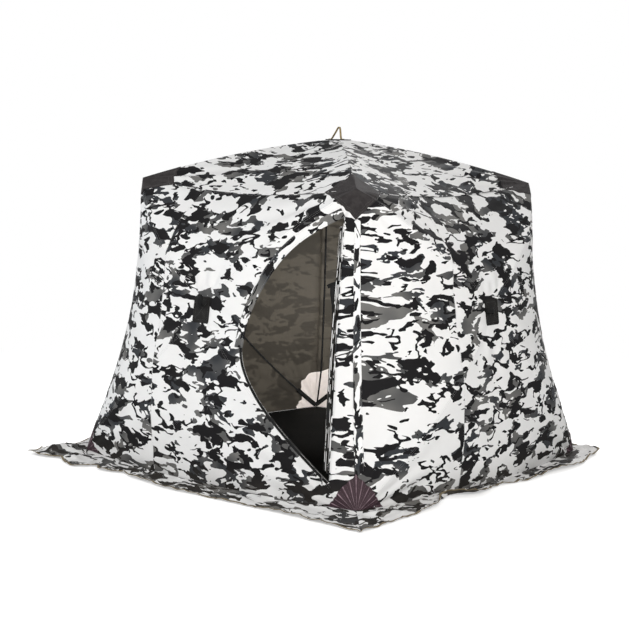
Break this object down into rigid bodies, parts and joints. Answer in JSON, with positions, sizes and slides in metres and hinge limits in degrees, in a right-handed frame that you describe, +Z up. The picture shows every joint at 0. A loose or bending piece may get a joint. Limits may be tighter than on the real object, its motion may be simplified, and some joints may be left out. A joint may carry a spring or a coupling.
{
  "type": "pop-up ice fishing hut",
  "caption": "Square pop-up fabric shelter held open by crossed bent poles with hubs in each wall and the roof, a D-shaped doorway and a snow skirt.",
  "frame": {"origin": "middle of the base, on the ground", "axes": "+Z up, the door wall faces -Y, +X to the right of someone who looks at the door wall"},
  "size_m": [2.5468, 2.5468, 1.8672],
  "materials": {
    "camo_cloth": "coated woven polyester with a white, grey and black winter print",
    "floor_cloth": "black coated sheet",
    "pole_rod": "black glass-fibre rod",
    "hub_metal": "dark painted metal",
    "dark_patch": "dark heavy cloth, stitched round its edge",
    "pleated_patch": "plum-brown heavy cloth with stitched pleats",
    "sleeve_cloth": "black webbing sleeve",
    "zip_tape": "black zip tape with coil teeth",
    "webbing": "woven webbing"
  },
  "bodies": {
    "root": {"floor_sheet": "floor_cloth", "skirt_front": "camo_cloth", "skirt_right": "camo_cloth", "skirt_back": "camo_cloth", "skirt_left": "camo_cloth", "front_wall_left": "camo_cloth", "front_wall_top": "camo_cloth", "front_wall_bottom": "camo_cloth", "front_wall_over_door": "camo_cloth", "front_wall_under_door": "camo_cloth", "front_wall_jamb": "camo_cloth", "right_wall": "camo_cloth", "back_wall": "camo_cloth", "left_wall": "camo_cloth", "roof_front": "camo_cloth", "roof_right": "camo_cloth", "roof_back": "camo_cloth", "roof_left": "camo_cloth", "front_wall_poles": "pole_rod", "right_wall_poles": "pole_rod", "back_wall_poles": "pole_rod", "left_wall_poles": "pole_rod", "roof_poles": "pole_rod", "front_hub": "hub_metal", "right_hub": "hub_metal", "back_hub": "hub_metal", "left_hub": "hub_metal", "roof_hub": "hub_metal", "front_hub_plate": "dark_patch", "right_hub_plate": "dark_patch", "back_hub_plate": "dark_patch", "left_hub_plate": "dark_patch", "roof_hub_plate": "dark_patch", "pull_straps": "webbing", "roof_loop": "webbing", "upper_pole_sleeves": "sleeve_cloth", "lower_pole_sleeves": "sleeve_cloth", "top_corner_patches": "dark_patch", "bottom_corner_patches": "pleated_patch", "door_zip": "zip_tape", "door_flap": "camo_cloth"}
  },
  "joints": []
}
